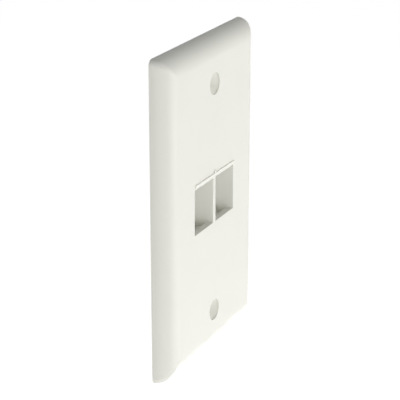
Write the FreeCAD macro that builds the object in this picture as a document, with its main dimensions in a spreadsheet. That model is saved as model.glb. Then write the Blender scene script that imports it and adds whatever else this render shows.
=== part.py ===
import FreeCAD, Part
import os
import Sketcher

# Single-gang wall plate with two keystone ports side by side, moulded in one piece.
# Frame: origin at the centre of the wall plane, +X to the right as seen from the front,
# +Y into the wall, +Z up. The rim lies on the wall at y = 0 and the face stands in front of it.

SIZES = {
    # shell
    "plate_width": 69.85,
    "plate_height": 114.3,
    "plate_depth": 6.8,
    "edge_radius": 6.8,
    "mitre_radius": 2.2,
    "shell_wall": 2.2,
    "face_thickness": 2.2,
    "core_mitre_radius": 1.2,
    # keystone ports, as seen on the face
    "port_width": 14.5,
    "port_height": 16.4,
    "divider_width": 1.9,
    "port_edge_break": 0.2,
    # keystone receptacle behind each port, measured from the face
    "lip_depth": 2.4,
    "catch_depth": 8.0,
    "receptacle_depth": 10.0,
    "hook_pocket": 2.0,
    "latch_pocket": 3.9,
    "latch_passage": 2.0,
    "catch_lead_in": 0.7,
    "receptacle_wall": 1.5,
    "receptacle_corner_radius": 0.8,
    # raised ledge over the ports, and the stub at its middle
    "ledge_gap": 0.3,
    "ledge_height": 1.35,
    "ledge_rise": 0.45,
    "ledge_foot": 0.15,
    "stub_width": 1.1,
    "stub_height": 1.0,
    # screw holes for number 6 oval-head screws
    "screw_spacing": 83.34,
    "screw_bore": 4.2,
    "screw_mouth": 7.7,
    "mouth_lip": 0.6,
    "countersink_angle": 82.0,
    "boss_diameter": 10.4,
    # ribs behind the face, between the receptacles and the bosses
    "rib_thickness": 1.2,
    "rib_height": 2.4,
    # how far a cutting shape runs past the surface that it cuts
    "overrun": 1.0,
}

PLATE_LABEL = "faceplate"

# How near two places are taken to be the same, in mm.
TOLERANCE = 1e-6

# Places that several features share, as expressions in the sheet's own sizes.
FACE = "-sizes.plate_depth"
IN_FRONT = f"({FACE} - sizes.overrun)"
INSIDE_FACE = "(sizes.plate_depth - sizes.face_thickness)"
MID_FACE = "(sizes.plate_depth - sizes.face_thickness / 2)"
BEHIND_WALL = "(sizes.receptacle_depth - sizes.plate_depth)"
PORT_TOP = "(sizes.port_height / 2)"
PORT_BOTTOM = "(-sizes.port_height / 2)"
PORT_CENTRE = "((sizes.port_width + sizes.divider_width) / 2)"
PORTS_HALF_SPAN = "(sizes.port_width + sizes.divider_width / 2)"
BLOCK_HALF_WIDTH = f"({PORTS_HALF_SPAN} + sizes.receptacle_wall)"
BLOCK_TOP = f"({PORT_TOP} + sizes.latch_pocket + sizes.receptacle_wall)"
BLOCK_BOTTOM = f"({PORT_BOTTOM} - sizes.hook_pocket - sizes.receptacle_wall)"
LEDGE_BOTTOM = f"({PORT_TOP} + sizes.ledge_gap)"
LEDGE_TOP = f"({LEDGE_BOTTOM} + sizes.ledge_height)"
BOSS_RADIUS = "(sizes.boss_diameter / 2)"
SCREW_HEIGHT = "(sizes.screw_spacing / 2)"


def make_sheet(doc):
    """The spreadsheet that drives the model: a name and a plain number in each row."""
    sheet = doc.addObject("Spreadsheet::Sheet", "sizes")
    for row, (alias, value) in enumerate(SIZES.items(), start=1):
        sheet.set(f"A{row}", alias)
        sheet.set(f"B{row}", str(value))
        sheet.setAlias(f"B{row}", alias)
    doc.recompute()


def value_of(owner, expression):
    """The number that an expression gives with the sheet's present sizes."""
    return float(owner.evalExpression(expression))


def origin_plane(body, role):
    """One of the body's own origin planes."""
    return [feature for feature in body.Origin.OriginFeatures if feature.Role == role][0]


def add_sketch(body, name, plane, offset=None):
    """A sketch on an origin plane, moved along its normal where an expression says so."""
    sketch = body.newObject("Sketcher::SketchObject", name)
    sketch.AttachmentSupport = [(origin_plane(body, plane), "")]
    sketch.MapMode = "FlatFace"
    if offset:
        sketch.setExpression(".AttachmentOffset.Base.z", offset)
    return sketch


def constrain(sketch, expression, *definition):
    """A dimension in the sketch that follows an expression."""
    index = sketch.addConstraint(Sketcher.Constraint(*definition, value_of(sketch, expression)))
    sketch.setExpression(f"Constraints[{index}]", expression)


def draw_outline(sketch, corners, arcs=None):
    """A closed outline through corners given as pairs of expressions.

    arcs maps a corner's index to (centre, radius, runs clockwise): the stretch from that
    corner to the next is then an arc, and every other stretch is straight.
    """
    arcs = arcs or {}
    points = [FreeCAD.Vector(value_of(sketch, u), value_of(sketch, v), 0) for u, v in corners]
    stretches = []
    for index, start in enumerate(points):
        end = points[(index + 1) % len(points)]
        if index not in arcs:
            stretches.append((sketch.addGeometry(Part.LineSegment(start, end)), 1, 2))
            continue
        (centre_u, centre_v), radius, clockwise = arcs[index]
        centre = FreeCAD.Vector(value_of(sketch, centre_u), value_of(sketch, centre_v), 0)
        circle = Part.Circle(centre, FreeCAD.Vector(0, 0, 1), value_of(sketch, radius))
        first, last = (end, start) if clockwise else (start, end)
        arc = Part.ArcOfCircle(circle, circle.parameter(first), circle.parameter(last))
        geometry = sketch.addGeometry(arc)
        stretches.append((geometry, 2, 1) if clockwise else (geometry, 1, 2))
        constrain(sketch, radius, "Radius", geometry)
    for index, (geometry, start, _) in enumerate(stretches):
        before, _, before_end = stretches[index - 1]
        sketch.addConstraint(Sketcher.Constraint("Coincident", before, before_end, geometry, start))
        constrain(sketch, corners[index][0], "DistanceX", geometry, start)
        constrain(sketch, corners[index][1], "DistanceY", geometry, start)


def draw_box(sketch, left, right, bottom, top):
    """A rectangle between four expressions."""
    draw_outline(sketch, [(left, bottom), (right, bottom), (right, top), (left, top)])


def draw_rounded_box(sketch, left, right, bottom, top, radius):
    """A rectangle with rounded corners, drawn anticlockwise from its lower left."""
    in_left, in_right = f"({left} + {radius})", f"({right} - {radius})"
    in_bottom, in_top = f"({bottom} + {radius})", f"({top} - {radius})"
    corners = [
        (in_left, bottom), (in_right, bottom), (right, in_bottom), (right, in_top),
        (in_right, top), (in_left, top), (left, in_top), (left, in_bottom),
    ]
    arcs = {
        1: ((in_right, in_bottom), radius, False),
        3: ((in_right, in_top), radius, False),
        5: ((in_left, in_top), radius, False),
        7: ((in_left, in_bottom), radius, False),
    }
    draw_outline(sketch, corners, arcs)


def add_pad(body, name, sketch, forwards, backwards=None):
    """A pad along the sketch's normal, and the other way too where backwards is given."""
    pad = body.newObject("PartDesign::Pad", name)
    pad.Profile = sketch
    pad.setExpression("Length", forwards)
    if backwards:
        pad.SideType = "Two sides"
        pad.setExpression("Length2", backwards)
    return pad


def add_centred(body, kind, name, sketch, width):
    """A pad or pocket of the given width, centred on its sketch."""
    feature = body.newObject(f"PartDesign::{kind}", name)
    feature.Profile = sketch
    feature.SideType = "Symmetric"
    feature.setExpression("Length", width)
    return feature


def add_mirrored(body, name, feature, plane):
    """The same feature once more, on the other side of one of the origin planes."""
    mirrored = body.newObject("PartDesign::Mirrored", name)
    mirrored.Originals = [feature]
    mirrored.MirrorPlane = (origin_plane(body, plane), [""])
    body.Tip = mirrored


def add_fillet(body, name, radius, is_chosen):
    """A fillet along every edge of the body so far whose bounding box is chosen."""
    body.Document.recompute()
    base = body.Tip
    numbered = enumerate(base.Shape.Edges, start=1)
    names = [f"Edge{index}" for index, edge in numbered if is_chosen(edge.BoundBox)]
    fillet = body.newObject("PartDesign::Fillet", name)
    fillet.Base = (base, names)
    fillet.setExpression("Radius", radius)


def round_over(body, name, plane, half_size, depth, radius, length):
    """Rounds one long front edge from the side to the front face, then the opposite one.

    The cutter is the corner outside the arc. In the YZ plane its first axis is the depth,
    and in the XY plane its second, so each pair is swapped there.
    """
    centre_depth = f"({radius} - {depth})"
    inner_edge = f"({half_size} - {radius})"
    outside = f"({half_size} + sizes.overrun)"
    before_face = f"(-{depth} - sizes.overrun)"
    corners = [
        (centre_depth, half_size),
        (f"(-{depth})", inner_edge),
        (before_face, inner_edge),
        (before_face, outside),
        (centre_depth, outside),
    ]
    centre = (centre_depth, inner_edge)
    swapped = plane == "XY_Plane"
    if swapped:
        corners = [pair[::-1] for pair in corners]
        centre = centre[::-1]
    sketch = add_sketch(body, f"{name}Section", plane)
    draw_outline(sketch, corners, {0: (centre, radius, swapped)})
    cut = add_centred(body, "Pocket", name, sketch, f"({length} + 2 * sizes.overrun)")
    add_mirrored(body, f"{name}Opposite", cut, "YZ_Plane" if swapped else "XY_Plane")


def add_rounded_block(body, name, width, height, depth, behind, edge_radius, mitre_radius):
    """A block whose front edges are rounded over and meet in softened mitres at its corners."""
    half_width, half_height = f"({width} / 2)", f"({height} / 2)"
    outline = add_sketch(body, f"{name}Outline", "XZ_Plane")
    draw_box(outline, f"(-{half_width})", half_width, f"(-{half_height})", half_height)
    add_pad(body, f"{name}Blank", outline, depth, behind)
    round_over(body, f"{name}EndRound", "YZ_Plane", half_height, depth, edge_radius, width)
    round_over(body, f"{name}SideRound", "XY_Plane", half_width, depth, edge_radius, height)
    # Only the mitres, and any straight corner behind them, run in depth.
    add_fillet(body, f"{name}MitreRound", mitre_radius, lambda box: box.YLength > TOLERANCE)


def make_core(doc):
    """The mould core: the space behind the face, parallel to the outside of the shell."""
    core = doc.addObject("PartDesign::Body", "mould_core")
    add_rounded_block(
        core,
        "Core",
        "(sizes.plate_width - 2 * sizes.shell_wall)",
        "(sizes.plate_height - 2 * sizes.shell_wall)",
        INSIDE_FACE,
        "sizes.overrun",
        "(sizes.edge_radius - sizes.shell_wall)",
        "sizes.core_mitre_radius",
    )
    return core


def add_shell(body, core):
    """The rounded plate, hollowed from behind by the mould core."""
    add_rounded_block(
        body,
        "Plate",
        "sizes.plate_width",
        "sizes.plate_height",
        "sizes.plate_depth",
        None,
        "sizes.edge_radius",
        "sizes.mitre_radius",
    )
    hollow = body.newObject("PartDesign::Boolean", "HollowBack")
    hollow.setObjects([core])
    hollow.Type = "Cut"


def add_receptacle_block(body):
    """The block behind the face that both keystone receptacles are cut from."""
    sketch = add_sketch(body, "ReceptacleOutline", "XZ_Plane")
    draw_rounded_box(
        sketch,
        f"(-{BLOCK_HALF_WIDTH})",
        BLOCK_HALF_WIDTH,
        BLOCK_BOTTOM,
        BLOCK_TOP,
        "sizes.receptacle_corner_radius",
    )
    add_pad(body, "ReceptacleBlock", sketch, MID_FACE, BEHIND_WALL)


def add_screw_bosses(body):
    """A round boss behind each screw hole, from the face to the wall plane."""
    sketch = add_sketch(body, "BossCircles", "XZ_Plane")
    for height in (SCREW_HEIGHT, f"(-{SCREW_HEIGHT})"):
        centre = FreeCAD.Vector(0, value_of(sketch, height), 0)
        radius = value_of(sketch, BOSS_RADIUS)
        circle = sketch.addGeometry(Part.Circle(centre, FreeCAD.Vector(0, 0, 1), radius))
        sketch.addConstraint(Sketcher.Constraint("PointOnObject", circle, 3, -2))
        constrain(sketch, height, "DistanceY", circle, 3)
        constrain(sketch, BOSS_RADIUS, "Radius", circle)
    add_pad(body, "ScrewBosses", sketch, MID_FACE)


def add_ribs(body):
    """Two low ribs on the centre line, from the receptacles to the bosses."""
    rib_top = f"({INSIDE_FACE} - sizes.rib_height)"
    half_rib = "(sizes.rib_thickness / 2)"
    boss_side = f"({SCREW_HEIGHT} - {BOSS_RADIUS} + sizes.rib_thickness / 2)"
    sketch = add_sketch(body, "RibOutlines", "XZ_Plane", rib_top)
    draw_box(sketch, f"(-{half_rib})", half_rib, f"({BLOCK_TOP} - {half_rib})", boss_side)
    draw_box(sketch, f"(-{half_rib})", half_rib, f"(-{boss_side})", f"({BLOCK_BOTTOM} + {half_rib})")
    add_pad(body, "CentreRibs", sketch, f"({MID_FACE} - {rib_top})")


def add_ledge(body):
    """The ledge as wide as both ports, thinner towards its foot, and the stub on its middle."""
    root = f"({FACE} + sizes.face_thickness / 2)"
    crest = f"({FACE} - sizes.ledge_rise)"
    foot = f"({FACE} - sizes.ledge_foot)"
    section = add_sketch(body, "LedgeSection", "YZ_Plane")
    corners = [(root, LEDGE_BOTTOM), (foot, LEDGE_BOTTOM), (crest, LEDGE_TOP), (root, LEDGE_TOP)]
    draw_outline(section, corners)
    add_centred(body, "Pad", "Ledge", section, f"(2 * {PORTS_HALF_SPAN})")
    stub = add_sketch(body, "StubSection", "YZ_Plane")
    draw_box(stub, crest, root, LEDGE_TOP, f"({LEDGE_TOP} + sizes.stub_height)")
    add_centred(body, "Pad", "LedgeStub", stub, "sizes.stub_width")


def cut_ports(body):
    """A keystone port and its receptacle, cut along its width from one side section.

    From the face back: the lips, the pockets for the fixed hook below and the latch above,
    then the catches that hold both, with a lead-in where the jack is pushed in.
    """
    lip_back = f"({FACE} + sizes.lip_depth)"
    catch_front = f"({FACE} + sizes.catch_depth)"
    lead_start = f"({FACE} + sizes.receptacle_depth - sizes.catch_lead_in)"
    behind_block = f"({BEHIND_WALL} + sizes.overrun)"
    lead_out = "(sizes.catch_lead_in + sizes.overrun)"
    hook_floor = f"({PORT_BOTTOM} - sizes.hook_pocket)"
    latch_roof = f"({PORT_TOP} + sizes.latch_pocket)"
    passage_top = f"({PORT_TOP} + sizes.latch_passage)"
    section = add_sketch(body, "PortSection", "YZ_Plane", PORT_CENTRE)
    draw_outline(
        section,
        [
            (IN_FRONT, PORT_BOTTOM),
            (lip_back, PORT_BOTTOM),
            (lip_back, hook_floor),
            (catch_front, hook_floor),
            (catch_front, PORT_BOTTOM),
            (lead_start, PORT_BOTTOM),
            (behind_block, f"({PORT_BOTTOM} - {lead_out})"),
            (behind_block, f"({passage_top} + {lead_out})"),
            (lead_start, passage_top),
            (catch_front, passage_top),
            (catch_front, latch_roof),
            (lip_back, latch_roof),
            (lip_back, PORT_TOP),
            (IN_FRONT, PORT_TOP),
        ],
    )
    port = add_centred(body, "Pocket", "RightPort", section, "sizes.port_width")
    add_mirrored(body, "LeftPort", port, "YZ_Plane")


def cut_screw_holes(body):
    """A countersunk hole for each screw: short straight mouth, cone, then the bore."""
    mouth = f"({SCREW_HEIGHT} + sizes.screw_mouth / 2)"
    bore = f"({SCREW_HEIGHT} + sizes.screw_bore / 2)"
    lip = f"({FACE} + sizes.mouth_lip)"
    cone = "((sizes.screw_mouth - sizes.screw_bore) / 2 / tan(sizes.countersink_angle / 2 * 1deg))"
    section = add_sketch(body, "ScrewHoleSection", "YZ_Plane")
    draw_outline(
        section,
        [
            (IN_FRONT, SCREW_HEIGHT),
            ("sizes.overrun", SCREW_HEIGHT),
            ("sizes.overrun", bore),
            (f"({lip} + {cone})", bore),
            (lip, mouth),
            (IN_FRONT, mouth),
        ],
    )
    hole = body.newObject("PartDesign::Groove", "UpperScrewHole")
    hole.Profile = section
    hole.ReferenceAxis = (section, ["Edge1"])
    hole.Angle = 360
    add_mirrored(body, "LowerScrewHole", hole, "XY_Plane")


def break_port_edges(body):
    """Takes the sharp edge off each port where it opens on the face."""
    face = value_of(body, FACE)
    half_span = value_of(body, PORTS_HALF_SPAN) + TOLERANCE
    half_height = value_of(body, PORT_TOP) + TOLERANCE

    def bounds_a_port(box):
        on_face = abs(box.YMin - face) < TOLERANCE and box.YLength < TOLERANCE
        in_height = max(-box.ZMin, box.ZMax) < half_height
        in_width = max(-box.XMin, box.XMax) < half_span
        return on_face and in_height and in_width

    add_fillet(body, "PortEdgeBreak", "sizes.port_edge_break", bounds_a_port)


def make_faceplate(doc):
    """The whole moulding, in the order in which its features build on one another."""
    core = make_core(doc)
    body = doc.addObject("PartDesign::Body", PLATE_LABEL)
    body.Label = PLATE_LABEL
    body.Placement = FreeCAD.Placement()
    add_shell(body, core)
    add_receptacle_block(body)
    add_screw_bosses(body)
    add_ribs(body)
    add_ledge(body)
    cut_ports(body)
    cut_screw_holes(body)
    break_port_edges(body)
    doc.recompute()
    return body


def check_document(doc):
    """Stops if any object failed to build."""
    failed = [o.Name for o in doc.Objects if {"Invalid", "Error"} & set(o.State)]
    if failed:
        raise RuntimeError(f"failed objects: {failed}")


def export(part):
    """Writes a sub-part that is sound and whole to its own file."""
    shape = part.Shape
    if shape.isNull() or not shape.isValid() or len(shape.Solids) != 1:
        raise RuntimeError(f"{part.Label} isn't one valid solid")
    shape.exportStep(f"parts/{part.Label}.step")
    print(part.Label, round(shape.Volume, 1), "mm3", len(shape.Faces), "faces")


def main():
    doc = FreeCAD.newDocument("keystone_faceplate")
    make_sheet(doc)
    faceplate = make_faceplate(doc)
    check_document(doc)
    os.makedirs("parts", exist_ok=True)
    export(faceplate)


main()
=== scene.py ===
import math

import bpy
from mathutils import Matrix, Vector


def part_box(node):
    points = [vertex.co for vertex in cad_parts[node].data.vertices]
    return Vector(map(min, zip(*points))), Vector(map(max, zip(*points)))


MM = 0.001

# The camera, in the photograph's place: it looks at a point just beside the plate's centre.
VIEW_AZIMUTH = -64.132
VIEW_ELEVATION = 20.036
VIEW_DISTANCE = 513.64 * MM
AIM_RIGHT = 1.075 * MM
AIM_UP = -1.153 * MM
SENSOR_WIDTH = 36.0
LENS = 132.52
CLIP_START = 0.01

# The studio: a pale floor, far enough below the plate for the low softboxes to shine up at it.
# It hides the lowest strip of low_front_softbox. FLOOR_LIFT is its glow where it is looked at.
FLOOR_DROP = 600 * MM
FLOOR_SIZE = 14.0
FLOOR_COLOUR = (0.86, 0.86, 0.86, 1)
FLOOR_LIFT = 0.99
ROOM_COLOUR = (1, 1, 1, 1)

# The softboxes, all turned to the middle of the plate's wall side: name, azimuth and elevation
# in degrees, distance and side in metres, power in watts.
LAMPS = [
    ("front_softbox", 10, 0, 0.95, 0.95, 2.29),
    ("low_front_softbox", 30, -20, 0.95, 0.95, 4.50),
    ("high_front_softbox", 30, 35, 0.95, 0.95, 2.35),
    ("left_softbox", -60, 5, 0.95, 0.95, 4.57),
    ("left_side_softbox", -120, 0, 0.9, 0.45, 2.00),
    ("back_softbox", 165, -5, 0.95, 0.95, 2.67),
    ("low_right_softbox", 96, -45, 0.35, 0.2, 0.26),
    ("low_left_softbox", -60, -60, 0.3, 0.2, 0.139),
]

# The moulding's plastic, a warm off-white. The scales are in features per metre: the clouds are
# about 22 mm across, the gloss changes over 6 mm and the moulded grain is 0.4 mm fine.
PLASTIC_COLOUR = (0.84, 0.838, 0.772)
PLASTIC_IOR = 1.5
CLOUD_TINT = 0.985
CLOUD_SCALE, CLOUD_DETAIL = 45, 3
GLOSS_SCALE, GLOSS_DETAIL = 160, 4
LEAST_ROUGHNESS, MOST_ROUGHNESS = 0.42, 0.5
GRAIN_SCALE, GRAIN_DETAIL, GRAIN_ROUGHNESS = 2600, 2, 0.6
GRAIN_STRENGTH = 0.12
GRAIN_HEIGHT = 0.02 * MM

# Most of a noise texture's values lie between these two.
NOISE_LOW, NOISE_HIGH = 0.3, 0.7


def link(tree, output, socket):
    """Joins a node's output to another node's socket."""
    tree.links.new(output, socket)


def new_node(tree, kind, **settings):
    """A shader node with its settings made in one call."""
    node = tree.nodes.new(kind)
    for name, value in settings.items():
        setattr(node, name, value)
    return node


def new_material(name):
    """An empty node material, its tree and its output."""
    material = bpy.data.materials.new(name)
    material.use_nodes = True
    tree = material.node_tree
    tree.nodes.clear()
    output = new_node(tree, "ShaderNodeOutputMaterial")
    return material, tree, output


def add_noise(tree, scale, detail, roughness=0.5):
    """Noise in the object's own space, its scale in features per metre."""
    coordinates = new_node(tree, "ShaderNodeTexCoord")
    noise = new_node(tree, "ShaderNodeTexNoise", noise_dimensions="3D")
    noise.inputs["Scale"].default_value = scale
    noise.inputs["Detail"].default_value = detail
    noise.inputs["Roughness"].default_value = roughness
    link(tree, coordinates.outputs["Object"], noise.inputs["Vector"])
    return noise.outputs["Fac"]


def remap(tree, value, low, high):
    """The noise's middle range spread between two values."""
    ramp = new_node(tree, "ShaderNodeMapRange")
    ramp.inputs["From Min"].default_value = NOISE_LOW
    ramp.inputs["From Max"].default_value = NOISE_HIGH
    ramp.inputs["To Min"].default_value = low
    ramp.inputs["To Max"].default_value = high
    link(tree, value, ramp.inputs["Value"])
    return ramp.outputs["Result"]


def plastic_material():
    """Smooth moulded plastic: faint clouding in its colour, uneven gloss, a fine grain."""
    material, tree, output = new_material("moulded_plastic")
    shader = new_node(tree, "ShaderNodeBsdfPrincipled")
    tint = new_node(tree, "ShaderNodeMix", data_type="RGBA")
    darker = [CLOUD_TINT * channel for channel in PLASTIC_COLOUR]
    tint.inputs["A"].default_value = (*darker, 1)
    tint.inputs["B"].default_value = (*PLASTIC_COLOUR, 1)
    clouds = add_noise(tree, CLOUD_SCALE, CLOUD_DETAIL)
    link(tree, remap(tree, clouds, 0, 1), tint.inputs["Factor"])
    link(tree, tint.outputs["Result"], shader.inputs["Base Color"])
    gloss = add_noise(tree, GLOSS_SCALE, GLOSS_DETAIL)
    roughness = remap(tree, gloss, LEAST_ROUGHNESS, MOST_ROUGHNESS)
    link(tree, roughness, shader.inputs["Roughness"])
    grain = add_noise(tree, GRAIN_SCALE, GRAIN_DETAIL, GRAIN_ROUGHNESS)
    bump = new_node(tree, "ShaderNodeBump")
    bump.inputs["Strength"].default_value = GRAIN_STRENGTH
    bump.inputs["Distance"].default_value = GRAIN_HEIGHT
    link(tree, grain, bump.inputs["Height"])
    link(tree, bump.outputs["Normal"], shader.inputs["Normal"])
    shader.inputs["IOR"].default_value = PLASTIC_IOR
    link(tree, shader.outputs["BSDF"], output.inputs["Surface"])
    return material


def seen_directly(tree):
    """1 for a ray that shows the surface itself: from the camera, or in a mirror or glass."""
    path = new_node(tree, "ShaderNodeLightPath")
    shown = path.outputs["Is Camera Ray"]
    for name in ("Is Glossy Ray", "Is Transmission Ray"):
        either = new_node(tree, "ShaderNodeMath", operation="MAXIMUM")
        link(tree, shown, either.inputs[0])
        link(tree, path.outputs[name], either.inputs[1])
        shown = either.outputs[0]
    return shown


def floor_material():
    """A pale matte floor, lifted towards white only where it is looked at."""
    material, tree, output = new_material("pale_floor")
    matte = new_node(tree, "ShaderNodeBsdfDiffuse")
    matte.inputs["Color"].default_value = FLOOR_COLOUR
    lift = new_node(tree, "ShaderNodeEmission")
    strength = new_node(tree, "ShaderNodeMath", operation="MULTIPLY")
    strength.inputs[1].default_value = FLOOR_LIFT
    link(tree, seen_directly(tree), strength.inputs[0])
    link(tree, strength.outputs[0], lift.inputs["Strength"])
    both = new_node(tree, "ShaderNodeAddShader")
    link(tree, matte.outputs[0], both.inputs[0])
    link(tree, lift.outputs[0], both.inputs[1])
    link(tree, both.outputs[0], output.inputs["Surface"])
    return material


def make_floor(height):
    """A wide level floor, square and centred under the plate."""
    half = FLOOR_SIZE / 2
    corners = [(-half, -half), (half, -half), (half, half), (-half, half)]
    mesh = bpy.data.meshes.new("floor")
    mesh.from_pydata([(x, y, height) for x, y in corners], [], [(0, 1, 2, 3)])
    mesh.materials.append(floor_material())
    floor = bpy.data.objects.new("floor", mesh)
    bpy.context.scene.collection.objects.link(floor)


def make_room():
    """A plain white room where it is looked at, which gives no light of its own."""
    world = bpy.data.worlds.new("studio_room")
    world.use_nodes = True
    tree = world.node_tree
    tree.nodes.clear()
    output = new_node(tree, "ShaderNodeOutputWorld")
    white = new_node(tree, "ShaderNodeBackground")
    white.inputs["Color"].default_value = ROOM_COLOUR
    link(tree, seen_directly(tree), white.inputs["Strength"])
    link(tree, white.outputs[0], output.inputs["Surface"])
    bpy.context.scene.world = world


def direction(azimuth, elevation):
    """The way out from the plate: azimuth 0 is straight ahead of its face, 90 its right side."""
    azimuth, elevation = math.radians(azimuth), math.radians(elevation)
    return Vector((
        math.sin(azimuth) * math.cos(elevation),
        -math.cos(azimuth) * math.cos(elevation),
        math.sin(elevation),
    ))


def add_lamp(centre, name, azimuth, elevation, distance, side, power):
    """A square softbox turned to the plate's centre, out of the camera's sight."""
    outward = direction(azimuth, elevation)
    data = bpy.data.lights.new(name, "AREA")
    data.size = side
    data.energy = power
    lamp = bpy.data.objects.new(name, data)
    lamp.location = centre + distance * outward
    lamp.rotation_mode = "QUATERNION"
    lamp.rotation_quaternion = (-outward).to_track_quat("-Z", "Y")
    lamp.visible_camera = False
    bpy.context.scene.collection.objects.link(lamp)


def make_camera(centre):
    """The photograph's viewpoint, from its left and a little above."""
    back = direction(VIEW_AZIMUTH, VIEW_ELEVATION)
    right = Vector((0, 0, 1)).cross(back).normalized()
    up = back.cross(right)
    aim = centre + AIM_RIGHT * right + AIM_UP * up
    data = bpy.data.cameras.new("camera")
    data.sensor_width = SENSOR_WIDTH
    data.lens = LENS
    data.clip_start = CLIP_START
    camera = bpy.data.objects.new("camera", data)
    camera.location = aim + VIEW_DISTANCE * back
    camera.rotation_mode = "QUATERNION"
    camera.rotation_quaternion = (-back).to_track_quat("-Z", "Y")
    bpy.context.scene.collection.objects.link(camera)
    bpy.context.scene.camera = camera


def finish_moulding(node):
    """The moulding's own plastic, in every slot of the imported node."""
    plastic = plastic_material()
    for slot in node.material_slots:
        slot.material = plastic


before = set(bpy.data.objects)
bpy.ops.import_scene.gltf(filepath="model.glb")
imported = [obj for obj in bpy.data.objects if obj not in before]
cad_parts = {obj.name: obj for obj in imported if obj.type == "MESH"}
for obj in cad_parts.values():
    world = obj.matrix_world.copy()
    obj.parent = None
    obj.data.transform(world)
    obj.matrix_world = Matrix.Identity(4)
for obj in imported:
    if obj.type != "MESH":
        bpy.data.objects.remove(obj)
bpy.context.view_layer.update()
bpy.context.scene.view_settings.view_transform = "Standard"

finish_moulding(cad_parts["faceplate"])

lowest_corner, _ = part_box("faceplate")
wall_centre = Vector((0, 0, 0))
make_floor(lowest_corner.z - FLOOR_DROP)
make_room()
for lamp in LAMPS:
    add_lamp(wall_centre, *lamp)
make_camera(wall_centre)
